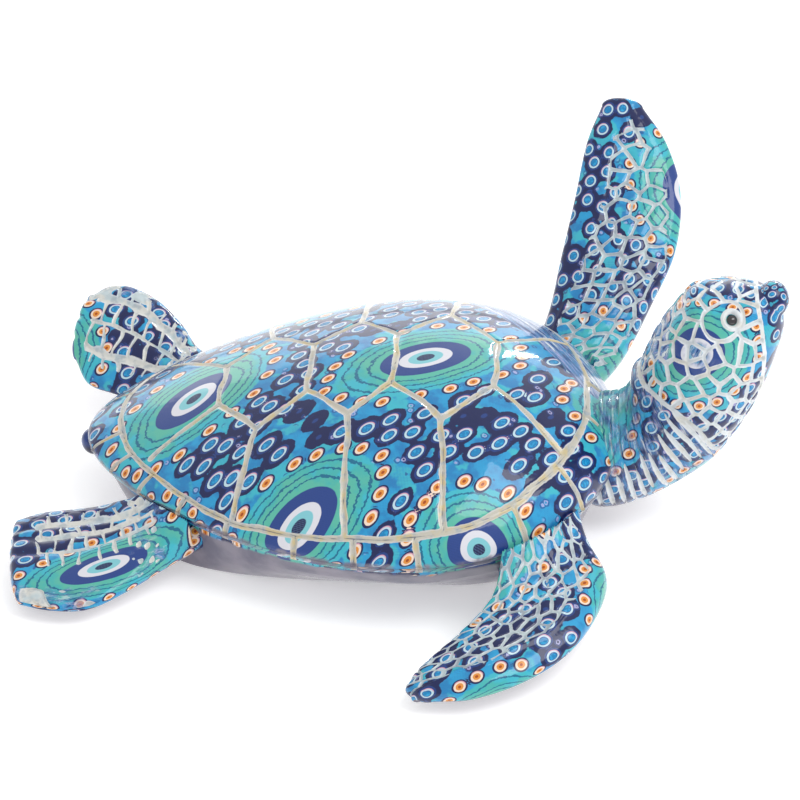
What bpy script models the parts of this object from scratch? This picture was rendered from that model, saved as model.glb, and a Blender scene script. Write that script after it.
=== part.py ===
"""A sea turtle figure of painted resin castings, swimming with its head up and its left side raised.

The shell, the belly, the head with its neck, the four flippers and the tail are separate castings.
Each limb's root is a plug, glued into a socket in the belly on a steel pin, and the shell is a hollow
cap over the belly's step. Two glass beads are the eyes.

X points forward, Y to the turtle's left and Z up. The origin is the middle of the flat that the
turtle rests on. Dimensions are in millimetres, and mesh_object turns them into metres.
"""

import math

import bpy
import bmesh
import numpy as np

MM = 0.001
GLUE_GAP = 0.3  # between any two pieces that meet

# Shell: an egg-shaped dome, wider at the front, tilted nose up.
SHELL_LENGTH = 110.0
SHELL_WIDTH = 93.9
SHELL_WIDENS = 0.277  # the share by which it is wider at its front end than at its middle
DOME_HEIGHT = 18.7
DOME_POWER = 0.628
DOME_RISES = 0.425  # the share by which the dome is higher towards the front
REAR_POINT = 2.0  # how far the outline is drawn out at its rear end
FRONT_POINT = 1.4  # and at its front end, over the neck
REAR_LIFT = 1.2  # of the rim's rear end over the rim's plane
RIM_HEIGHT = 15.0  # of the rim's plane above the ground, under the shell's middle
SHELL_PITCH = math.radians(2.26)
SHELL_WALL = 4.0
LIP_DROP = 1.5
LIP_REACH = 0.985  # the lip's lower edge, as a share of the rim's reach
OPENING_REACH = 0.88

# Belly: its wall runs from the shoulder under the shell's lip in to the outline of the rest face.
SHOULDER_REACH = 0.965
REST_SEMI_AXES = (45.0, 32.0)
REST_FORWARD = 2.0
REST_SQUARENESS = 3.8
# Rows of the wall, top to bottom: the share of the way in, and the share of the shoulder's height.
BELLY_WALL = ((0.0, 1.0), (0.06, 0.85), (0.24, 0.6), (0.45, 0.38), (0.66, 0.2), (0.84, 0.08), (0.94, 0.02), (1.0, 0.0))
STEP_REACH = 0.84
STEP_HEIGHT = 0.2
POCKET_CENTRE_X = 4.0
POCKET_SEMI_AXES = (27.0, 20.0)
POCKET_FLOOR = 4.0

# Pins: one at each limb's root and one in the neck, half in the limb and half in the belly.
PIN_DIAMETER = 3.0
PIN_LENGTH = 18.0
PIN_SIDES = 16

# Eyes.
EYE_DIAMETER = 2.8
EYE_CENTRE = (77.8, 7.2, 50.9)  # the left one's

RING_SIDES = 28
RIM_SIDES = 64
DOME_STEPS = 12
CROWN_REACH = 0.02  # of the small flat at the dome's crown
STEPS_PER_STATION = 2
TIP_ROUNDS = 3
OVAL_POWER = 0.9  # below 1, a limb's section is squarer than an ellipse

# A limb is a row of stations from its root to its tip. Each station is the leading edge's point, the
# trailing edge's point and the thickness between them.
FRONT_FLIPPER_RIGHT = (
    ((43.5, -18.0, 8.6), (29.0, -18.0, 9.5), 11.0),
    ((50.3, -32.0, 8.3), (31.5, -31.0, 9.0), 10.5),
    ((54.5, -41.0, 9.2), (32.7, -42.5, 8.8), 9.0),
    ((52.7, -51.5, 8.5), (31.5, -50.5, 8.2), 8.0),
    ((47.3, -62.2, 7.1), (26.8, -57.0, 7.0), 7.0),
    ((38.8, -70.1, 5.8), (21.8, -63.0, 6.0), 6.0),
    ((29.2, -74.5, 4.6), (17.8, -68.0, 5.0), 5.0),
    ((21.5, -74.8, 3.8), (16.3, -71.3, 4.2), 4.0),
)
FRONT_FLIPPER_LEFT = (
    ((45.0, 18.0, 11.5), (29.5, 18.0, 10.5), 11.0),
    ((56.0, 30.0, 15.8), (35.5, 28.5, 15.5), 10.5),
    ((63.2, 41.8, 25.1), (40.0, 38.5, 23.0), 9.0),
    ((68.0, 51.5, 33.3), (42.4, 49.0, 31.4), 8.0),
    ((68.7, 62.3, 41.8), (44.9, 60.0, 40.0), 7.0),
    ((65.3, 71.3, 49.1), (47.2, 71.0, 48.8), 6.0),
    ((59.8, 77.9, 54.4), (50.3, 78.2, 54.6), 4.6),
)
REAR_FLIPPER_RIGHT = (
    ((-24.0, -28.0, 9.0), (-31.0, -15.5, 9.5), 8.5),
    ((-35.0, -37.5, 6.6), (-40.5, -23.0, 9.0), 8.0),
    ((-43.0, -45.3, 4.9), (-48.5, -22.0, 8.0), 6.5),
    ((-50.0, -50.5, 3.9), (-56.5, -21.5, 7.2), 5.5),
    ((-57.5, -51.0, 3.6), (-63.5, -22.0, 6.6), 5.0),
    ((-63.8, -49.4, 3.5), (-68.3, -24.0, 6.0), 4.5),
)
REAR_FLIPPER_LEFT = (
    ((-25.0, 27.0, 10.0), (-32.0, 14.5, 8.5), 8.5),
    ((-36.0, 32.5, 12.6), (-41.0, 19.0, 8.0), 8.0),
    ((-42.5, 39.7, 17.0), (-48.0, 20.5, 8.0), 6.5),
    ((-50.0, 45.5, 20.3), (-55.0, 22.0, 8.6), 5.5),
    ((-57.8, 47.5, 21.3), (-61.3, 24.6, 9.4), 5.0),
    ((-62.5, 45.2, 20.1), (-64.8, 30.0, 12.0), 4.5),
)
TAIL = (
    ((-38.0, 0.0, 13.0), (-38.0, 0.0, 5.0), 9.0),
    ((-47.0, 0.0, 12.6), (-47.0, 0.0, 6.0), 7.0),
    ((-54.0, 0.0, 12.3), (-54.0, 0.0, 7.6), 5.0),
    ((-57.5, 0.0, 11.9), (-57.5, 0.0, 8.6), 3.5),
)
# The neck and head run from the root to the beak: the upper point, the lower point and the breadth.
HEAD_AND_NECK = (
    ((43.5, 0.0, 22.0), (43.5, 0.0, 4.5), 24.0),
    ((51.0, 0.0, 24.5), (54.0, 0.0, 2.8), 27.5),
    ((56.5, 0.0, 26.5), (63.0, 0.0, 5.2), 25.0),
    ((59.6, 0.0, 33.4), (70.7, 0.0, 9.8), 24.0),
    ((61.0, 0.0, 38.2), (76.8, 0.0, 15.2), 24.0),
    ((63.0, 0.0, 43.3), (80.5, 0.0, 21.0), 25.0),
    ((65.9, 0.0, 48.3), (84.0, 0.0, 28.0), 25.0),
    ((69.7, 0.0, 53.4), (86.5, 0.0, 35.0), 23.0),
    ((75.7, 0.0, 54.6), (87.8, 0.0, 42.0), 18.5),
    ((82.5, 0.0, 54.2), (88.3, 0.0, 48.0), 12.0),
)

FILM_BLUE = (0.03, 0.22, 0.55, 1.0)
BELLY_GREY = (0.32, 0.29, 0.36, 1.0)
GLASS_BLACK = (0.004, 0.004, 0.005, 1.0)
STEEL_GREY = (0.55, 0.56, 0.58, 1.0)


def clear_scene():
    for item in list(bpy.data.objects):
        bpy.data.objects.remove(item, do_unlink=True)


def material(name, colour, roughness, metallic=0.0):
    made = bpy.data.materials.new(name)
    made.use_nodes = True
    shader = made.node_tree.nodes["Principled BSDF"]
    shader.inputs["Base Color"].default_value = colour
    shader.inputs["Roughness"].default_value = roughness
    shader.inputs["Metallic"].default_value = metallic
    made.diffuse_color = colour
    return made


def mesh_object(name, points, faces, finish):
    """A closed mesh from points in millimetres, with its normals facing out."""
    mesh = bpy.data.meshes.new(name)
    mesh.from_pydata([tuple(MM * float(value) for value in point) for point in points], [], faces)
    work = bmesh.new()
    work.from_mesh(mesh)
    bmesh.ops.recalc_face_normals(work, faces=work.faces)
    bmesh.ops.triangulate(work, faces=[face for face in work.faces if len(face.verts) > 4])
    work.to_mesh(mesh)
    work.free()
    mesh.shade_smooth()
    mesh.materials.append(finish)
    made = bpy.data.objects.new(name, mesh)
    bpy.context.scene.collection.objects.link(made)
    return made


def as_cutter(item):
    item.hide_render = True
    item.display_type = "WIRE"
    return item


def cut(target, cutter):
    boolean = target.modifiers.new(f"cut_{cutter.name}", "BOOLEAN")
    boolean.operation = "DIFFERENCE"
    boolean.solver = "EXACT"
    boolean.object = cutter


def faces_of_rings(ring_count, sides):
    """Quads between rings of the same number of points, laid one after another."""
    faces = []
    for ring in range(ring_count - 1):
        for side in range(sides):
            following = (side + 1) % sides
            low, high = ring * sides, (ring + 1) * sides
            faces.append((low + side, low + following, high + following, high + side))
    return faces


def closed_by_rings(rings):
    """Points and faces of a solid whose rings are closed by a flat at each end."""
    sides = len(rings[0])
    points = [point for ring in rings for point in ring]
    faces = faces_of_rings(len(rings), sides)
    faces.append(tuple(range(sides)))
    faces.append(tuple(range(len(points) - sides, len(points))))
    return points, faces


# --- lofted limbs ---


def smoothed(stations, steps):
    """Rows of numbers between the stations, on a Catmull-Rom curve through them."""
    rows = np.array([(*first, *second, breadth) for first, second, breadth in stations])
    padded = np.vstack([2 * rows[0] - rows[1], rows, 2 * rows[-1] - rows[-2]])
    found = []
    for index in range(1, len(padded) - 2):
        before, start, end, after = padded[index - 1 : index + 3]
        for share in np.arange(steps) / steps:
            found.append(
                start
                + 0.5 * share * (end - before)
                + share**2 * (before - 2.5 * start + 2 * end - 0.5 * after)
                + share**3 * (1.5 * (start - end) + 0.5 * (after - before))
            )
    found.append(padded[-2])
    return np.array(found)


def limb_rings(stations, grown=0.0):
    """Oval rings from root to rounded tip. A socket's cutter is the same limb, grown all round."""
    rows = smoothed(stations, STEPS_PER_STATION)
    first, second = rows[:, 0:3], rows[:, 3:6]
    middles = (first + second) / 2
    ways = np.gradient(middles, axis=0)
    ways /= np.linalg.norm(ways, axis=1)[:, None]
    chords = first - second
    lengths = np.linalg.norm(chords, axis=1)
    chords /= lengths[:, None]
    normals = np.cross(ways, chords)
    normals /= np.linalg.norm(normals, axis=1)[:, None]
    middles[0] -= grown * ways[0]
    tip_reach = 0.5 * min(rows[-1, 6], lengths[-1]) + grown
    turns = np.arange(RING_SIDES) * 2 * math.pi / RING_SIDES
    oval = [np.sign(wave) * np.abs(wave) ** OVAL_POWER for wave in (np.cos(turns), np.sin(turns))]

    def ring(index, shrink=1.0, ahead=0.0):
        along = oval[0][:, None] * chords[index] * (lengths[index] / 2 + grown)
        across = oval[1][:, None] * normals[index] * (rows[index, 6] / 2 + grown)
        return list(middles[index] + ahead * ways[index] + shrink * (along + across))

    rings = [ring(index) for index in range(len(rows))]
    for step in range(1, TIP_ROUNDS + 1):
        angle = math.radians(82) * step / TIP_ROUNDS
        rings.append(ring(-1, math.cos(angle), tip_reach * math.sin(angle)))
    return rings, middles[0] + grown * ways[0], ways[0]


def limb(name, stations, finish):
    """A limb, the cutter of its socket, and the middle and direction of its root."""
    rings, root, way = limb_rings(stations)
    piece = mesh_object(name, *closed_by_rings(rings), finish)
    grown_rings, _, _ = limb_rings(stations, GLUE_GAP)
    socket = as_cutter(mesh_object(f"{name}_socket", *closed_by_rings(grown_rings), finish))
    return piece, socket, root, way


# --- shell and belly ---


def shell_point(reach, turn, height):
    """A point at a share of the rim's reach, and at a height over the rim's plane."""
    along = reach * math.cos(turn)
    rear = max(0.0, -math.cos(turn)) ** 8
    front = max(0.0, math.cos(turn)) ** 6
    x = SHELL_LENGTH / 2 * along + (FRONT_POINT * front - REAR_POINT * rear) * reach**4
    y = SHELL_WIDTH / 2 * (1 + SHELL_WIDENS * along) * reach * math.sin(turn)
    height += REAR_LIFT * max(0.0, -along) ** 2
    cosine, sine = math.cos(SHELL_PITCH), math.sin(SHELL_PITCH)
    return (x * cosine - height * sine, y, RIM_HEIGHT + x * sine + height * cosine)


def dome_height(reach, turn, height):
    along = reach * math.cos(turn)
    return height * max(0.0, 1 - reach**2) ** DOME_POWER * (1 + DOME_RISES * along)


def shell_ring(reach, height_at):
    turns = [side * 2 * math.pi / RIM_SIDES for side in range(RIM_SIDES)]
    return [shell_point(reach, turn, height_at(turn)) for turn in turns]


def carapace_rings():
    """The outside from the crown down, round the lip, and up the inside to the crown."""
    reaches = [math.sin(math.radians(90) * step / DOME_STEPS) for step in range(DOME_STEPS + 1)]
    reaches[0] = CROWN_REACH
    outer = [shell_ring(reach, lambda turn, r=reach: dome_height(r, turn, DOME_HEIGHT)) for reach in reaches]
    lip = [shell_ring(reach, lambda turn: -LIP_DROP) for reach in (LIP_REACH, OPENING_REACH)]
    room = DOME_HEIGHT - SHELL_WALL + LIP_DROP
    inner = [
        shell_ring(OPENING_REACH * reach, lambda turn, r=reach: dome_height(r, turn, room) - LIP_DROP)
        for reach in reversed(reaches[:-1])
    ]
    return outer + lip + inner


def rest_outline():
    """A squarish oval on the ground."""
    turns = np.arange(RIM_SIDES) * 2 * math.pi / RIM_SIDES
    power = 2 / REST_SQUARENESS
    along = REST_FORWARD + REST_SEMI_AXES[0] * np.sign(np.cos(turns)) * np.abs(np.cos(turns)) ** power
    across = REST_SEMI_AXES[1] * np.sign(np.sin(turns)) * np.abs(np.sin(turns)) ** power
    return np.column_stack([along, across, np.zeros(RIM_SIDES)])


def belly_rings():
    """From the top of the step down to the rest face."""
    shoulder = -LIP_DROP - GLUE_GAP
    rings = [
        shell_ring(STEP_REACH, lambda turn: STEP_HEIGHT),
        shell_ring(STEP_REACH, lambda turn: shoulder),
    ]
    top = np.array(shell_ring(SHOULDER_REACH, lambda turn: shoulder))
    rest = rest_outline()
    for inward, share in BELLY_WALL:
        ring = top + (rest - top) * inward
        ring[:, 2] = top[:, 2] * share
        rings.append(list(ring))
    return rings


def pocket(finish):
    """The cutter of the oval pocket that lightens the belly from above."""
    along, across = POCKET_SEMI_AXES
    turns = [side * 2 * math.pi / RING_SIDES for side in range(RING_SIDES)]
    rings = [
        [(POCKET_CENTRE_X + along * math.cos(turn), across * math.sin(turn), height) for turn in turns]
        for height in (POCKET_FLOOR, RIM_HEIGHT + SHELL_LENGTH / 4)
    ]
    return as_cutter(mesh_object("belly_pocket", *closed_by_rings(rings), finish))


# --- pins and eyes ---


def rod(name, middle, way, diameter, length, finish):
    way = np.array(way)
    across = np.cross(way, (0.0, 0.0, 1.0))
    across /= np.linalg.norm(across)
    upward = np.cross(across, way)
    turns = np.arange(PIN_SIDES) * 2 * math.pi / PIN_SIDES
    circle = diameter / 2 * (np.cos(turns)[:, None] * across + np.sin(turns)[:, None] * upward)
    rings = [list(circle + middle + way * end * length / 2) for end in (-1, 1)]
    return mesh_object(name, *closed_by_rings(rings), finish)


def pinned(name, casting, belly, root, way, finish):
    """A pin across the joint at a limb's root, with its hole through both castings."""
    rod(name, root, way, PIN_DIAMETER, PIN_LENGTH, finish)
    hole = rod(f"{name}_hole", root, way, PIN_DIAMETER + 2 * GLUE_GAP, PIN_LENGTH + 2 * GLUE_GAP, finish)
    as_cutter(hole)
    cut(casting, hole)
    cut(belly, hole)


def ball(name, centre, diameter, finish):
    mesh = bpy.data.meshes.new(name)
    work = bmesh.new()
    bmesh.ops.create_icosphere(work, subdivisions=3, radius=MM * diameter / 2)
    work.to_mesh(mesh)
    work.free()
    mesh.shade_smooth()
    mesh.materials.append(finish)
    made = bpy.data.objects.new(name, mesh)
    made.location = [MM * value for value in centre]
    bpy.context.scene.collection.objects.link(made)
    return made


def eye(side_name, side, head, finish):
    x, y, z = EYE_CENTRE
    centre = (x, side * y, z)
    ball(f"eye_{side_name}", centre, EYE_DIAMETER, finish)
    socket = as_cutter(ball(f"eye_{side_name}_socket", centre, EYE_DIAMETER + 2 * GLUE_GAP, finish))
    cut(head, socket)


def main():
    clear_scene()
    film = material("film", FILM_BLUE, 0.15)
    grey = material("belly_paint", BELLY_GREY, 0.3)
    glass = material("black_glass", GLASS_BLACK, 0.05)
    steel = material("steel", STEEL_GREY, 0.35, 1.0)

    carapace = mesh_object("carapace", *closed_by_rings(carapace_rings()), film)
    belly = mesh_object("belly", *closed_by_rings(belly_rings()), grey)

    limbs = (
        ("head_and_neck", "neck_pin", HEAD_AND_NECK),
        ("front_flipper_right", "front_pin_right", FRONT_FLIPPER_RIGHT),
        ("front_flipper_left", "front_pin_left", FRONT_FLIPPER_LEFT),
        ("rear_flipper_right", "rear_pin_right", REAR_FLIPPER_RIGHT),
        ("rear_flipper_left", "rear_pin_left", REAR_FLIPPER_LEFT),
        ("tail", None, TAIL),
    )
    castings = {}
    for name, pin_name, stations in limbs:
        piece, socket, root, way = limb(name, stations, film)
        castings[name] = piece
        cut(carapace, socket)
        cut(belly, socket)
        if pin_name:
            pinned(pin_name, piece, belly, root, way, steel)
    cut(belly, pocket(grey))

    for side_name, side in (("right", -1), ("left", 1)):
        eye(side_name, side, castings["head_and_neck"], glass)


main()
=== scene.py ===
import math

import bpy
import mathutils
import numpy as np
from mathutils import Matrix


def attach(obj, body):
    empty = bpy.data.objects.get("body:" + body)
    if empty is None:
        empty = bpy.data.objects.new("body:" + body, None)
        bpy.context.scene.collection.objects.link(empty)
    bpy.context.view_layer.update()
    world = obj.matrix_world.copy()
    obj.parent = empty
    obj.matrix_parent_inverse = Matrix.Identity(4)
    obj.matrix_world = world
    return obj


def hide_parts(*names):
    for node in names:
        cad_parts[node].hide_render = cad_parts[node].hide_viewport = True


# The looks of a sea turtle figure: glossy resin castings under a printed film of beads and eye motifs,
# with pale paint left in the grooves between the shell's plates, the scales and the neck's folds.
# X points forward, Y to the turtle's left and Z up. Lengths here are millimetres until mesh_piece.

MM = 0.001
CHUNK = 6000  # points worked on at a time
FULL_TURN = 2 * math.pi

# --- the castings' shapes, as the CAD has them ---

SHELL_LENGTH = 110.0
SHELL_WIDTH = 93.9
SHELL_WIDENS = 0.277
DOME_HEIGHT = 18.7
DOME_POWER = 0.628
DOME_RISES = 0.425
REAR_POINT = 2.0
FRONT_POINT = 1.4
REAR_LIFT = 1.2
RIM_HEIGHT = 15.0
SHELL_PITCH = math.radians(2.26)
SHELL_WALL = 4.0
LIP_DROP = 1.5
GLUE_GAP = 0.3
OPENING_REACH = 0.88
SHOULDER_REACH = 0.965
REST_SEMI_AXES = (45.0, 32.0)
REST_FORWARD = 2.0
REST_SQUARENESS = 3.8
# Down the belly's wall: how far in from the shoulder to the rest, and how high.
BELLY_WALL = (
    (0.0, 1.0), (0.06, 0.85), (0.24, 0.6), (0.45, 0.38), (0.66, 0.2), (0.84, 0.08), (0.94, 0.02), (1.0, 0.0),
)
EYE_CENTRE = (77.8, 7.2, 50.9)  # the left one's

# A limb's stations: the leading edge's point, the trailing edge's point and the thickness.
FRONT_FLIPPER_RIGHT = (
    ((43.5, -18, 8.6), (29, -18, 9.5), 11),
    ((50.3, -32, 8.3), (31.5, -31, 9), 10.5),
    ((54.5, -41, 9.2), (32.7, -42.5, 8.8), 9),
    ((52.7, -51.5, 8.5), (31.5, -50.5, 8.2), 8),
    ((47.3, -62.2, 7.1), (26.8, -57, 7), 7),
    ((38.8, -70.1, 5.8), (21.8, -63, 6), 6),
    ((29.2, -74.5, 4.6), (17.8, -68, 5), 5),
    ((21.5, -74.8, 3.8), (16.3, -71.3, 4.2), 4),
)
FRONT_FLIPPER_LEFT = (
    ((45, 18, 11.5), (29.5, 18, 10.5), 11),
    ((56, 30, 15.8), (35.5, 28.5, 15.5), 10.5),
    ((63.2, 41.8, 25.1), (40, 38.5, 23), 9),
    ((68, 51.5, 33.3), (42.4, 49, 31.4), 8),
    ((68.7, 62.3, 41.8), (44.9, 60, 40), 7),
    ((65.3, 71.3, 49.1), (47.2, 71, 48.8), 6),
    ((59.8, 77.9, 54.4), (50.3, 78.2, 54.6), 4.6),
)
REAR_FLIPPER_RIGHT = (
    ((-24, -28, 9), (-31, -15.5, 9.5), 8.5),
    ((-35, -37.5, 6.6), (-40.5, -23, 9), 8),
    ((-43, -45.3, 4.9), (-48.5, -22, 8), 6.5),
    ((-50, -50.5, 3.9), (-56.5, -21.5, 7.2), 5.5),
    ((-57.5, -51, 3.6), (-63.5, -22, 6.6), 5),
    ((-63.8, -49.4, 3.5), (-68.3, -24, 6), 4.5),
)
REAR_FLIPPER_LEFT = (
    ((-25, 27, 10), (-32, 14.5, 8.5), 8.5),
    ((-36, 32.5, 12.6), (-41, 19, 8), 8),
    ((-42.5, 39.7, 17), (-48, 20.5, 8), 6.5),
    ((-50, 45.5, 20.3), (-55, 22, 8.6), 5.5),
    ((-57.8, 47.5, 21.3), (-61.3, 24.6, 9.4), 5),
    ((-62.5, 45.2, 20.1), (-64.8, 30, 12), 4.5),
)
TAIL = (
    ((-38, 0, 13), (-38, 0, 5), 9),
    ((-47, 0, 12.8), (-47, 0, 5.8), 7.2),
    ((-52, 0, 13.4), (-52, 0, 6.8), 6.4),
    ((-56.2, 0, 13.4), (-56.2, 0, 7.8), 5.2),
)
# The neck and head, root to beak: the upper point, the lower point and the breadth.
HEAD_AND_NECK = (
    ((43.5, 0, 22), (43.5, 0, 4.5), 24),
    ((51, 0, 24.5), (54, 0, 2.8), 27.5),
    ((56.5, 0, 26.5), (63, 0, 5.2), 25),
    ((59.6, 0, 33.4), (70.7, 0, 9.8), 24),
    ((61, 0, 38.2), (76.8, 0, 15.2), 24),
    ((63, 0, 43.3), (80.5, 0, 21), 25),
    ((65.9, 0, 48.3), (84, 0, 28), 25),
    ((69.7, 0, 53.4), (86.5, 0, 35), 23),
    ((75.7, 0, 54.6), (88.2, 0, 42), 18.5),
    ((81, 0, 55), (89.1, 0, 46.2), 14),
    ((84, 0, 54.7), (88.9, 0, 49.8), 8),
)
OVAL_POWER = 0.9  # 1 makes a limb's section an ellipse, and less makes it fuller
SHELL_GRID = 280  # squares on each side of the grid that becomes the dome
FLARE_REACH = 3.4
FRONT_FLARE, REAR_FLARE, NO_FLARE = 4.0, 1.6, -9.0  # how far over the rim's plane a limb's top rises
BELLY_SIDES = 400
BELLY_RINGS = 60
TIP_ROUNDS = 20

# --- the printed film ---

# An eye motif: its centre on the film, the way it is stretched in degrees, and how much along and across.
SHELL_EYES = (
    (-33.6, -3.3, 49, 1.75, 1.0),
    (15.3, -0.8, 26, 1.8, 1.0),
    (-8.0, -42.2, 38, 1.6, 0.98),
    (29.4, -46.6, 0, 1.22, 1.0),
    (66.0, 0.0, 16, 1.8, 1.0),
    (-47.8, -41.4, 25, 1.5, 1.0),
    (-12.0, 39.0, 20, 1.6, 1.0),
    (37.0, 41.0, 8, 1.6, 1.0),
    (-58.0, 36.0, 30, 1.5, 1.0),
)
FRONT_RIGHT_EYES = ((22.0, -38.0, 0, 1.65, 1.65), (62.5, -47.5, 0, 1.04, 1.04), (38.5, -82.0, 20, 1.2, 1.1))
FRONT_LEFT_EYES = ((71.0, 75.3, 90, 1.35, 1.15), (52.0, 14.0, 90, 2.4, 1.1))
REAR_RIGHT_EYES = ((-47.8, -41.4, 22, 1.65, 0.62),)
REAR_LEFT_EYES = ((-71.8, 30.0, 0, 1.12, 1.12),)
HEAD_EYES = ((70.8, 45.2, 25, 1.1, 0.95), (45.0, 24.0, 0, 1.1, 1.0), (78.0, 5.0, 0, 1.1, 1.0))
PUPIL, PALE_IRIS, WHITE_IRIS, ROYAL_IRIS = 1.1, 2.15, 3.3, 5.6  # the motif's rings, as radii
TEAL_END = 11.2
TEAL_LINES = (7.1, 8.5, 10.0)  # the dark contours' radii
EYE_BEADS = 20
EYE_BEAD_RING = 12.3
EYE_BEAD_SIZE = (0.84, 0.92)  # along and across, against the ground's beads
EYE_CLEARANCE = 14.0  # from an eye's centre to the nearest bead of the ground
BEAD_SPACING = 3.3
BEAD_TRIES = 9000  # places tried, so that no room is left for another bead
DARK_BEADS = 0.09  # the share of the ground's beads that lack a blue centre
ORANGE, BLUE, DARK = 0.0, 1.0, 2.0
BLOT_REACH = (1.8, 2.4)  # a dark blot's least and most radius
BLOT_SOFTNESS = 3.0  # the higher, the less that neighbouring blots run together
FILM_PLAN = ((1, 0, 0), (0, 1, 0))
FILM_SIDE = ((1, 0, 0), (0, 0, 1))
FILM_RAISED = ((1, 0, 0), (0, 0.8, 0.6))
SHELL_WRAP, HEAD_WRAP, LIMB_WRAP = 9.0, 11.5, 3.5  # about how sharply the film goes round the flanks
UNPAINTED = 9.0

# --- the shell's plates: points on the right side, as shares of half the length and millimetres ---

SEAM_HALF_WIDTH = 0.66
MARGIN_HALF_WIDTH = 0.72
SEAM_DEPTH = 0.45
INNER_RANK = ((-0.497, 7.5), (-0.152, 9.0), (0.175, 9.5), (0.561, 8.5))
OUTER_RANK = ((-0.74, 18.1), (-0.332, 17.7), (0.021, 18.0), (0.370, 20.2), (0.82, 21.4))
COSTAL_FEET = ((-0.39, 36.5), (0.03, 43.7), (0.40, 43.7))
# The line round the plates' edge: degrees from the front, and its share of the rim's reach.
MARGIN_LINE = (
    (0, 0.89), (30, 0.90), (60, 0.935), (90, 0.95), (115, 0.97), (130, 0.95), (145, 0.92), (180, 0.87),
)
DRAG_AXES = ((0.79, 0.62), (0.62, -0.79))  # across and along the streaks at the front left
MARGIN_SEAMS = (7, 28, 46, 72, 86, 99, 115, 128, 141, 153, 166)  # degrees, on each side

# --- the limbs' and the head's relief ---

# The rear flippers' bands: the chord half way along, its change along the limb, and half the width.
NEAR_BANDS = ((-0.6, 0.0, 1.0), (-0.33, 0.0, 0.85), (-0.02, 0.0, 0.4))
FAR_BANDS = ((-0.4, -0.1, 1.0), (0.08, 0.15, 0.5), (0.54, 0.25, 1.2))
BAND_STEP = 3.6  # between the short lines that cross the bands
# The rear flippers: names, stations, motifs, seed, bands and where along the limb the bands end.
REAR_FLIPPERS = (
    (("near_rear_flipper", "rear_flipper_right"), REAR_FLIPPER_RIGHT, REAR_RIGHT_EYES, 41, NEAR_BANDS, 0.9),
    (("far_rear_flipper", "rear_flipper_left"), REAR_FLIPPER_LEFT, REAR_LEFT_EYES, 45, FAR_BANDS, 0.95),
)
CREASE = ((59.0, 34.5), (63.0, 33.4), (67.5, 31.0), (72.5, 26.8), (76.6, 19.8))  # x and z, nape to throat
BEAK_LINE = ((25.0, 84.0), (36.0, 85.0), (44.0, 85.0), (50.0, 84.0), (58.0, 82.0))  # z and x, from below
EYE_SCALE_REACH = 4.3
EYE_SCALE_CENTRE = (76.2, 7.2, 50.6)
LID_REACH = 2.15
KNOB = (58.6, 33.0)  # x and z of the bulge at the nape
NECK_STROKE_PITCH = 2.15


def srgb(red, green, blue):
    """A linear colour from the values that a screen shows."""
    shares = (red / 255, green / 255, blue / 255)
    linear = [share / 12.92 if share <= 0.04045 else ((share + 0.055) / 1.055) ** 2.4 for share in shares]
    return (*linear, 1.0)


# --- mesh helpers ---


def strip_faces(first, second):
    """Quads between two closed rings of point numbers."""
    following = np.roll(np.arange(len(first)), -1)
    return np.column_stack([first, first[following], second[following], second])


def fan_faces(ring, pole):
    """Triangles from a ring to one point, each as a quad with its last corner repeated."""
    following = np.roll(np.arange(len(ring)), -1)
    poles = np.full(len(ring), pole)
    return np.column_stack([ring, ring[following], poles, poles])


def point_normals(points, faces):
    corners = points[faces]
    facing = np.cross(corners[:, 2] - corners[:, 0], corners[:, 3] - corners[:, 1])
    flat = (corners[:, 2] == corners[:, 3]).all(axis=1)
    facing[flat] = np.cross(corners[flat, 1] - corners[flat, 0], corners[flat, 2] - corners[flat, 0])
    normals = np.column_stack([
        np.bincount(faces.ravel(), np.repeat(facing[:, axis], 4), len(points)) for axis in range(3)
    ])
    return normals / np.maximum(np.linalg.norm(normals, axis=1), 1e-12)[:, None]


def wound_outwards(points, faces):
    """The faces of a closed surface, wound so that they look outwards."""
    first, second, third, fourth = [points[faces[:, corner]] for corner in range(4)]
    volume = (first * np.cross(second, third)).sum() + (first * np.cross(third, fourth)).sum()
    return faces if volume > 0 else faces[:, [1, 0, 3, 2]]


def mesh_piece(name, points, faces, layers, finish, nodes):
    """A smooth mesh with named values at its points, riding on the body in place of CAD nodes."""
    mesh = bpy.data.meshes.new(name)
    outlines = [tuple(row[:3]) if row[2] == row[3] else tuple(row) for row in faces.tolist()]
    mesh.from_pydata((points * MM).tolist(), [], outlines)
    for label, values in layers.items():
        wide = values.ndim == 2
        layer = mesh.attributes.new(label, "FLOAT_VECTOR" if wide else "FLOAT", "POINT")
        layer.data.foreach_set("vector" if wide else "value", values.astype(np.float32).ravel())
    mesh.shade_smooth()
    mesh.materials.append(finish)
    piece = bpy.data.objects.new(name, mesh)
    bpy.context.scene.collection.objects.link(piece)
    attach(piece, "root")
    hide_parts(*nodes)
    return piece


def smooth_step(low, high, values):
    """0 at low and 1 at high, or the other way round when low is the larger."""
    share = np.clip((values - low) / (high - low), 0, 1)
    return share * share * (3 - 2 * share)


def hump(values, middle, width):
    """1 at the middle, fading out over about the width on both sides."""
    return np.exp(-(((values - middle) / width) ** 2))


def waves(points, length, seed):
    """A smooth random field from -1 to 1 with features of about the length given."""
    dice = np.random.default_rng(seed)
    total = np.zeros(len(points))
    for _ in range(6):
        way = dice.normal(size=3)
        way *= FULL_TURN / (length * dice.uniform(0.7, 1.6) * np.linalg.norm(way))
        total += np.sin(points @ way + dice.uniform(0, FULL_TURN))
    return total / 3.2


# --- the film's print ---


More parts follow.
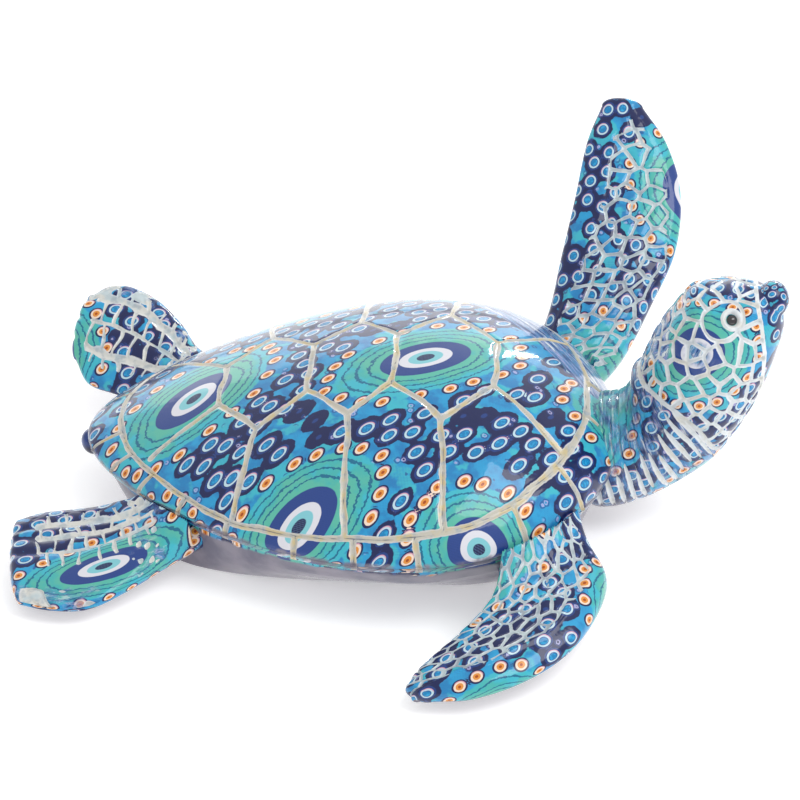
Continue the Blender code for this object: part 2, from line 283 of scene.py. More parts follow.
def film_places(points, normals, plane, wrap, both_sides=False):
    """Where points lie on the film: straight above, and unrolled round flanks of about that radius."""
    plane = np.array(plane, float)
    lean = normals @ plane.T
    steepness = np.clip(np.linalg.norm(lean, axis=1), 1e-6, 1)
    facing = normals @ np.cross(plane[0], plane[1])
    angle = np.arctan2(steepness, np.abs(facing) if both_sides else facing)
    extra = wrap * (angle - steepness) / steepness
    return points @ plane.T + lean * extra[:, None]


def motif_ways(places, motifs):
    """From each place to every motif, in the motif's own round frame. Motifs: x, y, turn, long, short."""
    gaps = places[:, None, :] - motifs[None, :, :2]
    cosines, sines = np.cos(motifs[:, 2]), np.sin(motifs[:, 2])
    along = (gaps[..., 0] * cosines + gaps[..., 1] * sines) / motifs[:, 3]
    across = (gaps[..., 1] * cosines - gaps[..., 0] * sines) / motifs[:, 4]
    return along, across


def nearest_motif(places, motifs):
    """The way to the nearest motif and its distance, as one row of three, and the motif's number."""
    ways, nearest = np.empty((len(places), 3)), np.empty(len(places), int)
    for start in range(0, len(places), CHUNK):
        along, across = motif_ways(places[start:start + CHUNK], motifs)
        squares = along**2 + across**2
        best = np.argmin(squares, axis=1)
        rows = np.arange(len(best))
        found = np.column_stack([along[rows, best], across[rows, best], np.sqrt(squares[rows, best])])
        ways[start:start + CHUNK], nearest[start:start + CHUNK] = found, best
    return ways, nearest


def blot_edge(places, beads, spread):
    """How far outside the dark blots each place lies, in millimetres; blots that are close run together."""
    edge = np.empty(len(places))
    for start in range(0, len(places), CHUNK):
        along, across = motif_ways(places[start:start + CHUNK], beads)
        gaps = np.sqrt(along**2 + across**2) - spread
        edge[start:start + CHUNK] = -np.log(np.exp(-BLOT_SOFTNESS * gaps).sum(axis=1) + 1e-9) / BLOT_SOFTNESS
    return edge


def eye_table(eyes):
    return np.array([(x, y, math.radians(degrees), long, short) for x, y, degrees, long, short in eyes])


def ring_beads(eye, dice, drag_at):
    """The orange beads round one eye motif: rows of x, y, turn, long, short and kind."""
    x, y, turn, long, short = eye
    rows = []
    for bead in range(EYE_BEADS):
        angle = FULL_TURN * (bead + dice.uniform(-0.12, 0.12)) / EYE_BEADS
        reach = EYE_BEAD_RING + dice.uniform(-0.45, 0.45)
        along, across = reach * math.cos(angle) * long, reach * math.sin(angle) * short
        cosine, sine = math.cos(turn), math.sin(turn)
        place = (x + along * cosine - across * sine, y + along * sine + across * cosine)
        bead_turn, bead_long, bead_short = drag_at(*place)
        rows.append((*place, bead_turn, EYE_BEAD_SIZE[0] * bead_long, EYE_BEAD_SIZE[1] * bead_short, ORANGE))
    return rows


def print_beads(places, eyes, drag_at, seed):
    """Every bead of a piece's film: rings round the eyes, then blue ones scattered on the ground."""
    dice = np.random.default_rng(seed)
    table = eye_table(eyes)
    beads = [row for eye in table for row in ring_beads(eye, dice, drag_at)]
    clear = nearest_motif(np.array(beads)[:, :2], table)[0][:, 2] > EYE_BEAD_RING - 0.9
    beads = [row for row, kept in zip(beads, clear) if kept]
    tries = places[dice.integers(0, len(places), BEAD_TRIES)] + dice.normal(0, 0.3, (BEAD_TRIES, 2))
    tries = tries[nearest_motif(tries, table)[0][:, 2] > EYE_CLEARANCE]
    for x, y in tries:
        turn, long, short = drag_at(x, y)
        here = np.array(beads)
        here[:, 2:5] = turn, long, short
        if nearest_motif(np.array([[x, y]]), here)[0][0, 2] < BEAD_SPACING:
            continue
        kind = DARK if dice.uniform() < DARK_BEADS else BLUE
        beads.append((x, y, turn, long, short * dice.uniform(0.95, 1.12), kind))
    return np.array(beads)


def film_layers(places, eyes, seed, drag_at):
    """The values from which the film's shader draws its print, from the points' places on the film."""
    beads = print_beads(places, eyes, drag_at, seed)
    bead_ways, nearest = nearest_motif(places, beads[:, :5])
    blots = beads[beads[:, 5] != ORANGE]
    spread = np.random.default_rng(seed + 1).uniform(*BLOT_REACH, len(blots))
    return {
        "eye_way": nearest_motif(places, eye_table(eyes))[0],
        "bead_way": bead_ways,
        "bead_kind": beads[nearest, 5],
        "blot": blot_edge(places, blots[:, :5], spread),
    }


# --- grooves ---

NEIGHBOURS = 6  # the cells looked at round a place's own
SITE_TRIES = 9000


def squeezed_by(stretch, axes):
    """What undoes a stretch along the first axis."""
    return np.array([1 / stretch, *[1.0] * (axes - 1)])


def cell_borders(places, sites, stretch=1.0):
    """Each place's distance from the border of its site's cell, where cells are long along the first axis."""
    squeeze = squeezed_by(stretch, places.shape[1])
    places, sites = places * squeeze, sites * squeeze
    found = np.empty(len(places))
    for start in range(0, len(places), CHUNK):
        part = places[start:start + CHUNK]
        squares = ((part[:, None, :] - sites[None]) ** 2).sum(axis=2)
        order = np.argpartition(squares, NEIGHBOURS, axis=1)[:, :NEIGHBOURS + 1]
        order = np.take_along_axis(order, np.argsort(np.take_along_axis(squares, order, 1), 1), 1)
        own = sites[order[:, 0]]
        least = np.full(len(part), np.inf)
        for rank in range(1, NEIGHBOURS + 1):
            other = sites[order[:, rank]]
            between = other - own
            slope = np.linalg.norm(between * squeeze, axis=1)
            least = np.minimum(least, (((own + other) / 2 - part) * between).sum(axis=1) / slope)
        found[start:start + CHUNK] = least
    return found


def scattered_sites(places, spacing_at, seed, stretch=1.0):
    """Sites picked among the places, no closer to one another than the spacing there."""
    picks = places[np.random.default_rng(seed).permutation(len(places))[:SITE_TRIES]]
    squeeze = squeezed_by(stretch, places.shape[1])
    sites = picks[:1]
    for pick in picks[1:]:
        if (((sites - pick) * squeeze) ** 2).sum(axis=1).min() > spacing_at(pick) ** 2:
            sites = np.vstack([sites, pick])
    return sites


def line_distance(places, first, second):
    """Each place's distance from a straight stretch between two points."""
    first, second = np.array(first, float), np.array(second, float)
    way = second - first
    share = np.clip((places - first) @ way / (way @ way), 0, 1)
    return np.linalg.norm(places - first - share[:, None] * way, axis=1)


def chain_distance(places, chain):
    return np.min([line_distance(places, *ends) for ends in zip(chain[:-1], chain[1:])], axis=0)


def groove(ratio):
    """1 at a groove's middle and 0 from its edge on."""
    return hump(ratio, 0, 0.75)


# --- carapace ---


def shell_points(reach, turn, height):
    """Points at a share of the rim's reach and a height over the rim's plane, and the same untilted."""
    along = reach * np.cos(turn)
    rear = np.maximum(0, -np.cos(turn)) ** 8
    front = np.maximum(0, np.cos(turn)) ** 6
    x = SHELL_LENGTH / 2 * along + (FRONT_POINT * front - REAR_POINT * rear) * reach**4
    y = SHELL_WIDTH / 2 * (1 + SHELL_WIDENS * along) * reach * np.sin(turn)
    height = height + REAR_LIFT * np.maximum(0, -along) ** 2
    cosine, sine = math.cos(SHELL_PITCH), math.sin(SHELL_PITCH)
    points = np.column_stack([x * cosine - height * sine, y, RIM_HEIGHT + x * sine + height * cosine])
    return points, np.column_stack([x, y])


def dome_height(reach, turn, height):
    """The height over the rim's plane of a dome that is this high at its crown."""
    return height * np.maximum(0, 1 - reach**2) ** DOME_POWER * (1 + DOME_RISES * reach * np.cos(turn))


def disc_grid(count):
    """A square grid laid over a disc: its points' reach and turn, its quads, and the rim's points."""
    steps = np.linspace(-1, 1, count + 1)
    a, b = [values.ravel() for values in np.meshgrid(steps, steps, indexing="ij")]
    wide = np.abs(a) > np.abs(b)
    radius = np.where(wide, np.abs(a), np.abs(b))
    with np.errstate(divide="ignore", invalid="ignore"):
        turn = np.where(wide, math.pi / 4 * b / a, math.pi / 2 - math.pi / 4 * a / b)
    turn = np.where(np.where(wide, a, b) < 0, turn + math.pi, turn)
    turn = np.where(radius == 0, 0.0, turn)
    number = np.arange((count + 1) ** 2).reshape(count + 1, count + 1)
    faces = np.column_stack([
        number[:-1, :-1].ravel(), number[1:, :-1].ravel(), number[1:, 1:].ravel(), number[:-1, 1:].ravel(),
    ])
    rim = np.concatenate([number[:-1, 0], number[-1, :-1], number[:0:-1, -1], number[0, :0:-1]])
    reach = radius * (1 + (1 - radius**6) / 6)  # closer rings towards the rim, where the dome turns down
    return reach, turn, faces, rim


def plate_seams(plan):
    """Distance from the seams inside the ring of edge plates."""
    half = SHELL_LENGTH / 2
    side = np.column_stack([plan[:, 0], np.abs(plan[:, 1])])
    inner, outer, feet = [
        [(half * share, across) for share, across in rank] for rank in (INNER_RANK, OUTER_RANK, COSTAL_FEET)
    ]
    lines = [(corner, (corner[0], 0.0)) for corner in inner]
    for rank, corner in enumerate(inner):
        lines += [(outer[rank], corner), (corner, outer[rank + 1])]
    lines += [(outer[rank + 1], foot) for rank, foot in enumerate(feet)]
    return np.min([line_distance(side, *line) for line in lines], axis=0)


def margin_seams(reach, turn):
    """Distance from the line round the plates, and from the seams outside it; and where outside is."""
    degrees = np.degrees(np.abs(np.arctan2(np.sin(turn), np.cos(turn))))
    line = np.interp(degrees, *zip(*MARGIN_LINE))
    slope = 2 * DOME_HEIGHT * DOME_POWER * reach * np.maximum(0.04, 1 - reach**2) ** (DOME_POWER - 1)
    ring = np.abs(reach - line) * np.hypot(SHELL_LENGTH / 2 - 5, slope)
    spokes = [np.abs(degrees - seam) for seam in MARGIN_SEAMS]
    return ring, np.radians(np.min(spokes, axis=0)) * SHELL_LENGTH / 2 * reach, reach > line


def shell_drag(x, y):
    """How the film lies over the shell at a place: its turn and its two stretches, more at the front."""
    front = float(smooth_step(20, 40, x))
    return math.radians(45 + 10 * front), 1.65 + 0.35 * front, 1.0 - 0.12 * front


def shell_film_layers(points, normals):
    return film_layers(film_places(points, normals, FILM_PLAN, SHELL_WRAP), SHELL_EYES, 11, shell_drag)


def carapace_points():
    """The shell's outside, its lip and its hollow, and how far the outside goes."""
    reach, turn, faces, rim = disc_grid(SHELL_GRID)
    ones = np.ones(len(rim))
    room = DOME_HEIGHT - SHELL_WALL + LIP_DROP
    rings = [(1.0, ones * -0.5), (0.997, ones * -1.0)]
    rings += [(ring, ones * -LIP_DROP) for ring in (0.985, 0.94, OPENING_REACH)]
    rings += [
        (OPENING_REACH * share, dome_height(share, turn[rim], room) - LIP_DROP)
        for share in (0.97, 0.85, 0.6, 0.3, 0.05)
    ]
    all_reach = np.concatenate([reach, *[ones * ring for ring, _ in rings]])
    all_turn = np.concatenate([turn, *[turn[rim] for _ in rings]])
    heights = np.concatenate([dome_height(reach, turn, DOME_HEIGHT), *[height for _, height in rings]])
    points, plan = shell_points(all_reach, all_turn, heights)
    numbers = [rim, *(len(turn) + np.arange(len(rings) * len(rim)).reshape(len(rings), len(rim)))]
    blocks = [faces, *[strip_faces(*pair) for pair in zip(numbers[:-1], numbers[1:])]]
    blocks.append(fan_faces(numbers[-1], len(points) - 1))
    return points, plan, all_reach, all_turn, wound_outwards(points, np.vstack(blocks)), len(turn), len(rim)


def shell_grooves(points, plan, reach, turn):
    """How far points are from the plates' seams, and from the line round the plates, in half widths."""
    wander = np.column_stack([waves(points, 12, 3), waves(points, 12, 4)]) * 0.3
    plates = plate_seams(plan + wander) / SEAM_HALF_WIDTH
    ring, spokes, outside = margin_seams(reach + 0.004 * waves(points, 12, 5), turn)
    ring = ring / MARGIN_HALF_WIDTH
    ratio = np.minimum(ring, np.where(outside, spokes / SEAM_HALF_WIDTH, plates))
    return ratio / (1 + 0.22 * waves(points, 5, 6)), ring


def front_smear(points):
    """Where the film dragged at the shell's front left, and the way that its streaks run."""
    across, along = (points[:, :2] @ np.array(DRAG_AXES).T).T
    share = smooth_step(48.5, 51.5, points[:, 0] + 0.85 * points[:, 1]) * smooth_step(0, 4, points[:, 1])
    return {"smear": share, "flow": np.column_stack([1.1 * across, 0.1 * along, points[:, 2] * 0])}


def make_carapace(finish):
    points, plan, reach, turn, faces, outer, rim = carapace_points()
    normals = point_normals(points, faces)
    ratio, ring = shell_grooves(points, plan, reach, turn)
    depth = SEAM_DEPTH * groove(ratio)
    depth[outer:] = 0
    hidden = np.arange(len(points)) >= outer + 3 * rim
    layers = shell_film_layers(points, normals) | front_smear(points) | {
        "paint": np.where(hidden, UNPAINTED, ratio),
        # Where the thin dark line of painted groove shade shows unbroken: all along the line round the
        # plates.
        "groove_shade": np.where(ring < 1, 1.0, 0.25),
        "under": np.where(hidden, 1.0, 0.5 * smooth_step(0.992, 1.0, reach)),
    }
    points = points - normals * depth[:, None]
    return mesh_piece("shell", points, faces, layers, finish, ["carapace"])


# --- belly ---


def rest_outline(turn):
    """The edge of the flat face that the belly rests on, a squarish oval."""
    power = 2 / REST_SQUARENESS
    cosine, sine = np.cos(turn), np.sin(turn)
    along = REST_FORWARD + REST_SEMI_AXES[0] * np.sign(cosine) * np.abs(cosine) ** power
    across = REST_SEMI_AXES[1] * np.sign(sine) * np.abs(sine) ** power
    return np.column_stack([along, across, np.zeros(len(turn))])


def belly_rings():
    """Rings of points from the belly's covered top, down its wall, to its flat rest; and how grey each is."""
    turn = np.arange(BELLY_SIDES) * FULL_TURN / BELLY_SIDES
    ones = np.ones(BELLY_SIDES)
    shoulder = ones * (-LIP_DROP - GLUE_GAP)
    top, _ = shell_points(ones * SHOULDER_REACH, turn, shoulder)
    rest = rest_outline(turn)
    rings = [shell_points(ones * share * SHOULDER_REACH, turn, shoulder)[0] for share in (0.1, 0.5, 0.9)]
    grey = [1.0] * len(rings)
    table = np.array(BELLY_WALL)
    for row in np.linspace(0, len(table) - 1, BELLY_RINGS):
        inward, level = [np.interp(row, np.arange(len(table)), column) for column in table.T]
        ring = top + (rest - top) * inward
        ring[:, 2] = top[:, 2] * level
        rings.append(ring)
        grey.append(smooth_step(0.0, 0.24, 1 - level))
    rings += [rest * [share, share, 0] for share in (0.97, 0.7, 0.4, 0.1)]
    grey += [1.0] * 4
    return rings, grey


def make_belly(finish):
    rings, grey = belly_rings()
    points = np.vstack(rings)
    numbers = np.arange(len(points)).reshape(len(rings), BELLY_SIDES)
    blocks = [strip_faces(*pair) for pair in zip(numbers[:-1], numbers[1:])]
    points = np.vstack([points, points[numbers[0]].mean(axis=0), points[numbers[-1]].mean(axis=0)])
    blocks.append(fan_faces(numbers[0][::-1], len(points) - 2))
    blocks.append(fan_faces(numbers[-1], len(points) - 1))
    faces = wound_outwards(points, np.vstack(blocks))
    normals = point_normals(points, faces)
    layers = shell_film_layers(points, normals) | {
        "paint": np.full(len(points), UNPAINTED),
        "under": np.append(np.repeat(grey, BELLY_SIDES), [1.0, 1.0]),
    }
    swell = 0.25 * (waves(points, 16, 8) - 1) * smooth_step(0.3, 3.0, points[:, 2])
    points = points + normals * swell[:, None]
    return mesh_piece("belly_casting", points, faces, layers, finish, ["belly"])


# --- limbs ---


def smoothed(stations, count):
    """Rows of numbers on a Catmull-Rom curve through the stations, evenly spaced along it; and its length."""
    rows = np.array([(*first, *second, breadth) for first, second, breadth in stations])
    padded = np.vstack([2 * rows[0] - rows[1], rows, 2 * rows[-1] - rows[-2]])
    before, start, end, after = [padded[skipped:len(padded) - 3 + skipped, None] for skipped in range(4)]
    share = (np.arange(24) / 24)[:, None]
    fine = (
        start
        + 0.5 * share * (end - before)
        + share**2 * (before - 2.5 * start + 2 * end - 0.5 * after)
        + share**3 * (1.5 * (start - end) + 0.5 * (after - before))
    )
    fine = np.vstack([fine.reshape(-1, rows.shape[1]), rows[-1]])
    middles = (fine[:, 0:3] + fine[:, 3:6]) / 2
    travel = np.concatenate([[0], np.cumsum(np.linalg.norm(np.diff(middles, axis=0), axis=1))])
    wanted = np.linspace(0, travel[-1], count)
    return np.column_stack([np.interp(wanted, travel, column) for column in fine.T]), travel[-1]


def unit(ways):
    return ways / np.linalg.norm(ways, axis=1)[:, None]


class Limb:
    """A lofted limb: its points and faces, and where each point lies on it.

    share runs from 0 at the root to 1 at the tip, and along is the same in millimetres; chord runs
    from -1 at the second edge to 1 at the first, and across is the same in millimetres.
    """

    def __init__(self, stations, rows, sides):
        table, length = smoothed(stations, rows)
        middles, chords = (table[:, 0:3] + table[:, 3:6]) / 2, table[:, 0:3] - table[:, 3:6]
        widths = np.linalg.norm(chords, axis=1)
        ways = unit(np.gradient(middles, axis=0))
        thicknesses = unit(np.cross(ways, chords)) * table[:, 6:]

        # The rings: one at each row, then those of the round tip, which shrink as they go ahead.
        tip_reach = 0.5 * min(table[-1, 6], widths[-1])
        angles = np.radians(90) * np.arange(1, TIP_ROUNDS) / TIP_ROUNDS
        row = np.concatenate([np.arange(rows), np.full(len(angles), rows - 1)])
        shrink = np.concatenate([np.ones(rows), np.cos(angles)])[:, None]
        ahead = np.concatenate([np.zeros(rows), tip_reach * np.sin(angles)])[:, None]
        turns = np.arange(sides) * FULL_TURN / sides
        waves_round = (np.cos(turns), np.sin(turns))
        chord, rise = [shrink * np.sign(wave) * np.abs(wave) ** OVAL_POWER for wave in waves_round]
        oval = chord[..., None] * chords[row, None] / 2 + rise[..., None] * thicknesses[row, None] / 2
        rings = (middles[row] + ahead * ways[row])[:, None] + oval
        numbers = np.arange(chord.size).reshape(chord.shape)
        blocks = [strip_faces(*pair) for pair in zip(numbers[:-1], numbers[1:])]
        blocks.append(fan_faces(numbers[0][::-1], numbers.size))
        blocks.append(fan_faces(numbers[-1], numbers.size + 1))

        half_width = np.repeat(widths[row, None] / 2, sides, axis=1)
        along = np.repeat(row[:, None] / (rows - 1) * length + ahead, sides, axis=1)
        self.points = np.vstack([rings.reshape(-1, 3), middles[0], middles[-1] + tip_reach * ways[-1]])
        self.faces = wound_outwards(self.points, np.vstack(blocks))
        self.normals = point_normals(self.points, self.faces)
        self.along = np.append(along, [0.0, length + tip_reach])
        self.share = np.minimum(1.0, self.along / length)
        self.chord = np.append(chord, [0.0, 0.0])
        self.half_width = np.append(half_width, [widths[0] / 2, widths[-1] / 2])
        self.across = self.chord * self.half_width

    def wandering(self, length, amount, seed):
        """Where each point lies along and across, shaken a little."""
        shake = [waves(self.points, length, seed), waves(self.points, length, seed + 1)]
        return np.column_stack([self.along, self.across]) + amount * np.column_stack(shake)


def smear_across(limb, share, across, along):
    """The film's streaks round a limb: how much of them shows, and how fine they are each way."""
    flow = np.column_stack([limb.across * across, limb.along * along, 0 * limb.along])
    return {"smear": share, "flow": flow}


def rim_flare(limb, level):
    """How far a limb's top rises where it comes out from under the shell's rim, as if cast in one with it.

    The level is how far over the rim's plane it rises.
    """
    x, y, z = limb.points.T
    along = x / (SHELL_LENGTH / 2)
    across = y / (SHELL_WIDTH / 2 * (1 + SHELL_WIDENS * along))
    outside = (np.hypot(along, across) - 1) * (SHELL_LENGTH / 2 - 6)
    near = np.exp(-np.maximum(outside, 0) / FLARE_REACH) * smooth_step(0.35, 0.75, outside)
    wanted = RIM_HEIGHT + x * math.sin(SHELL_PITCH) + level
    return np.maximum(0, wanted - z) * near * smooth_step(0.1, 0.7, limb.normals[:, 2])


def print_limb(names, limb, film, finish, ratio, ridge, dome, flare, smear):
    """Engraves the net between the scales, puffs the scales up, and prints the film over both."""
    name, node = names
    plane, eyes, seed, turn, stretch = film
    places = film_places(limb.points, limb.normals, plane, LIMB_WRAP)
    layers = film_layers(places, eyes, seed, lambda x, y: (math.radians(turn), stretch, 1.0))
    height = ridge + dome * (1 - np.exp(-np.clip(ratio, 0, 8) / 2.0)) - 0.34 * groove(ratio) - dome
    layers |= smear | {"paint": ratio, "under": smooth_step(0.35, 0.75, -limb.normals[:, 2])}
    points = limb.points + limb.normals * height[:, None]
    points[:, 2] += rim_flare(limb, flare)
    return mesh_piece(name, points, limb.faces, layers, finish, [node])


def make_front_flipper_right(finish):
    """Long scales, and a smooth band along the leading edge that widens towards the tip."""
    limb = Limb(FRONT_FLIPPER_RIGHT, 230, 180)
    places = limb.wandering(6, 0.3, 21)
    sites = scattered_sites(places, lambda pick: 1.85, 23, stretch=1.7)
    ratio = cell_borders(places, sites, 1.7) / (0.33 * (1 + 0.3 * waves(limb.points, 3, 24)))
    edge = np.interp(limb.share, (0.4, 0.65, 0.9), (0.68, 0.5, 0.1)) + 0.04 * waves(limb.points, 9, 26)
    ratio = np.where(limb.chord > edge, UNPAINTED, ratio)
    ratio = ratio + 5 * smooth_step(0.22, 0.13, limb.share)
    ridge = 0.45 * hump(limb.chord, edge, 0.07) * smooth_step(0.3, 0.45, limb.share)
    film = (FILM_PLAN, FRONT_RIGHT_EYES, 25, 40, 1.35)
    smear = smear_across(limb, 0.8 * smooth_step(0.24, 0.1, limb.share), 1.3, 0.22)
    names = ("near_front_flipper", "front_flipper_right")
    return print_limb(names, limb, film, finish, ratio, ridge, 0.2, FRONT_FLARE, smear)


def make_front_flipper_left(finish):
    """Square scales, growing towards the tip, with smooth film along both edges."""
    limb = Limb(FRONT_FLIPPER_LEFT, 230, 180)
    places = limb.wandering(7, 0.3, 31)
    sites = scattered_sites(places, lambda pick: np.interp(pick[0], (0, 45), (2.3, 3.6)), 33)
    ratio = cell_borders(places, sites) / (0.42 * (1 + 0.25 * waves(limb.points, 4, 34)))
    shake = 0.04 * waves(limb.points, 8, 36)
    trailing = np.interp(limb.share, (0.3, 0.55, 0.85), (-0.74, -0.6, -0.35)) + shake
    leading = np.interp(limb.share, (0.5, 0.8, 0.95), (0.86, 0.7, 0.5)) + shake
    smooth = (limb.chord < trailing) | (limb.chord > leading) | (limb.share > 0.93 + shake)
    ratio = np.where(smooth, UNPAINTED, ratio)
    ridge = 0.3 * hump(limb.chord, trailing, 0.07) * smooth_step(0.95, 0.85, limb.share)
    film = (FILM_RAISED, FRONT_LEFT_EYES, 35, 80, 1.25)
    names = ("far_front_flipper", "front_flipper_left")
    return print_limb(names, limb, film, finish, ratio, ridge, 0.22, FRONT_FLARE, {})


def dabs(points, length, seed, region):
    """Dabs of paint with features of about a length, where the region is 1."""
    return 2.6 - 2.9 * waves(points, length, seed) + 8 * (1 - region)


def banded_net(limb, middles, widths, seed, net_end):
    """Bands along a limb with short lines between them, out to a share of its length."""
    lanes = [np.abs(limb.chord - middle) * limb.half_width / width for middle, width in zip(middles, widths)]
    lane = sum((limb.chord > middle).astype(int) for middle in middles)
    steps = (limb.along + 1.9 * lane + 0.6 * waves(limb.points, 6, seed + 1)) / BAND_STEP
    cross = np.abs(steps - np.round(steps)) * BAND_STEP / 0.36
    between = (limb.chord > middles[0] - 0.25) & (limb.chord < middles[-1] + 0.3)
    ratio = np.minimum(np.min(lanes, axis=0), np.where(between, cross, UNPAINTED))
    ratio = ratio / (1 + 0.4 * waves(limb.points, 4, seed + 3))
    root, tip = smooth_step(0.36, 0.2, limb.share), smooth_step(net_end, net_end + 0.08, limb.share)
    return ratio + 6 * root + 6 * tip


def make_rear_flipper(finish, names, stations, eyes, seed, bands, net_end):
    limb = Limb(stations, 170, 230)
    points, share = limb.points, limb.share
    shift = 0.03 * waves(points, 8, seed)
    middles = [place + slope * (share - 0.5) + shift for place, slope, _ in bands]
    ratio = banded_net(limb, middles, [width for _, _, width in bands], seed, net_end)
    on_top = smooth_step(0.2, 0.5, limb.normals[:, 2])
    root = smooth_step(0.24, 0.34, share) * smooth_step(0.52, 0.42, share) * on_top
    edge = smooth_step(0.62, 0.76, limb.chord) * smooth_step(0.55, 0.66, share) * on_top
    ratio = np.minimum(ratio, dabs(points, 2.4, seed + 4, root) - 0.5)
    ratio = np.minimum(ratio, dabs(points, 5.0, seed + 6, edge) - 1.6)
    fingers = sum(hump(limb.chord, middle, 0.1) for middle in middles)
    ridge = -0.35 * fingers * smooth_step(0.15, 0.5, share)
    film = (FILM_PLAN, eyes, seed + 2, 20, 1.35)
    smear = smear_across(limb, 0.24 + 0.2 * np.maximum(root, edge), 0.9, 0.3)
    return print_limb(names, limb, film, finish, ratio, ridge, 0.18, REAR_FLARE, smear)


def make_tail(finish):
    limb = Limb(TAIL, 60, 90)
    film = (FILM_PLAN, SHELL_EYES, 51, 40, 1.4)
    plain = np.full(len(limb.points), UNPAINTED)
    return print_limb(("tail_stub", "tail"), limb, film, finish, plain, 0, 0.1, NO_FLARE, {})


# --- head ---


def head_net(folded, on_head):
    """The net between the head's scales, with one round scale about the eye."""
    sites = scattered_sites(folded[on_head], lambda pick: 3.3, 64)
    sites = sites[np.linalg.norm(sites - EYE_SCALE_CENTRE, axis=1) > EYE_SCALE_REACH + 1.4]
    net = cell_borders(folded, sites)
    gap = np.linalg.norm(folded - EYE_SCALE_CENTRE, axis=1) - EYE_SCALE_REACH + 0.5 * waves(folded, 7, 65)
    return np.where(gap > 0, np.minimum(net, gap), -gap)


def neck_strokes(limb):
    """Short pale strokes round the neck, as shares of a stroke's half width."""
    points = limb.points
    rows = (limb.along + 0.5 * waves(points, 14, 66)) / NECK_STROKE_PITCH
    number = np.round(rows).astype(int)
    gap = np.abs(rows - number) * NECK_STROKE_PITCH * (1 - 0.3 * limb.chord)
    dice = np.random.default_rng(67)
    middles = dice.uniform(-0.42, -0.12, 40)[number]
    reaches = dice.uniform(0.4, 0.68, 40)[number]
    taper = np.sqrt(np.maximum(0.0, 1 - ((limb.chord - middles) / reaches) ** 2))
    return gap / np.maximum(0.05, 0.6 * taper)


def head_paint(limb, folded, flat, crease, above):
    """Distances in half widths: from the net and the strokes, from the eye's lid, and from all paint."""
    beak = flat[:, 0] > np.interp(flat[:, 1], *zip(*BEAK_LINE))
    shaken = folded + 0.25 * np.column_stack([waves(limb.points, 6, seed) for seed in (61, 62, 63)])
    net = head_net(shaken, above & ~beak & (crease > 0.8)) / (0.48 * (1 + 0.25 * waves(limb.points, 4, 68)))
    beak_edge = np.abs(flat[:, 0] - np.interp(flat[:, 1], *zip(*BEAK_LINE))) / 0.4
    ratio = np.where(above, np.where(beak, UNPAINTED, net), neck_strokes(limb))
    ratio = np.minimum(ratio, crease / 0.55)
    lid = np.abs(np.linalg.norm(folded - EYE_CENTRE, axis=1) - LID_REACH) / 0.45
    return ratio, lid, np.min([ratio, lid, np.where(above, beak_edge, UNPAINTED)], axis=0)


def head_relief(ratio, lid, folded, flat, crease):
    """The scales puff up between sunken lines, the lid stands out round the eye, and the nape bulges."""
    eye_gap = np.linalg.norm(folded - EYE_CENTRE, axis=1)
    height = 0.3 * (1 - np.exp(-np.clip(ratio, 0, 8) / 2.0)) - 0.4 * groove(ratio) - 0.3
    height += 0.55 * groove(lid) - 0.9 * np.exp(-((eye_gap / 1.7) ** 6))
    height -= 0.35 * hump(crease, 0, 0.8)
    return height + 1.2 * hump(flat[:, 0], KNOB[0], 2.2) * hump(flat[:, 1], KNOB[1], 2.4)


def head_smear(limb, folded, flat, above, eye_reach):
    """The film dragged at the nape, on the cheek and all down the neck."""
    nape = above * smooth_step(67.5, 63.5, flat[:, 0]) * smooth_step(38, 42, flat[:, 1])
    cheek = hump(eye_reach, 0, 5.0)
    on_head = np.column_stack([limb.across * 1.4, limb.along * 0.25, folded[:, 1] * 0.3])
    on_neck = np.column_stack([limb.along * 1.6, limb.across * 0.25, folded[:, 1] * 0.2])
    return {
        "smear": np.where(above, np.maximum(0.9 * nape, 0.56 * cheek), 0.46),
        "flow": np.where(above[:, None], on_head, on_neck),
    }


def make_head(finish):
    limb = Limb(HEAD_AND_NECK, 290, 250)
    folded = np.column_stack([limb.points[:, 0], np.abs(limb.points[:, 1]), limb.points[:, 2]])
    flat = folded[:, [0, 2]]
    crease = chain_distance(flat, CREASE)
    above = (flat[:, 1] > np.interp(flat[:, 0], *zip(*CREASE))) | (flat[:, 0] > CREASE[-1][0])
    ratio, lid, drawn = head_paint(limb, folded, flat, crease, above)
    places = film_places(limb.points, limb.normals, FILM_SIDE, HEAD_WRAP, both_sides=True)
    layers = film_layers(places, HEAD_EYES, 71, lambda x, y: (math.radians(25), 1.2, 1.0))
    layers |= head_smear(limb, folded, flat, above, layers["eye_way"][:, 2])
    layers |= {"paint": drawn, "under": smooth_step(0.55, 0.9, -limb.normals[:, 2])}
    points = limb.points + limb.normals * head_relief(ratio, lid, folded, flat, crease)[:, None]
    return mesh_piece("head", points, limb.faces, layers, finish, ["head_and_neck"])


# --- materials ---


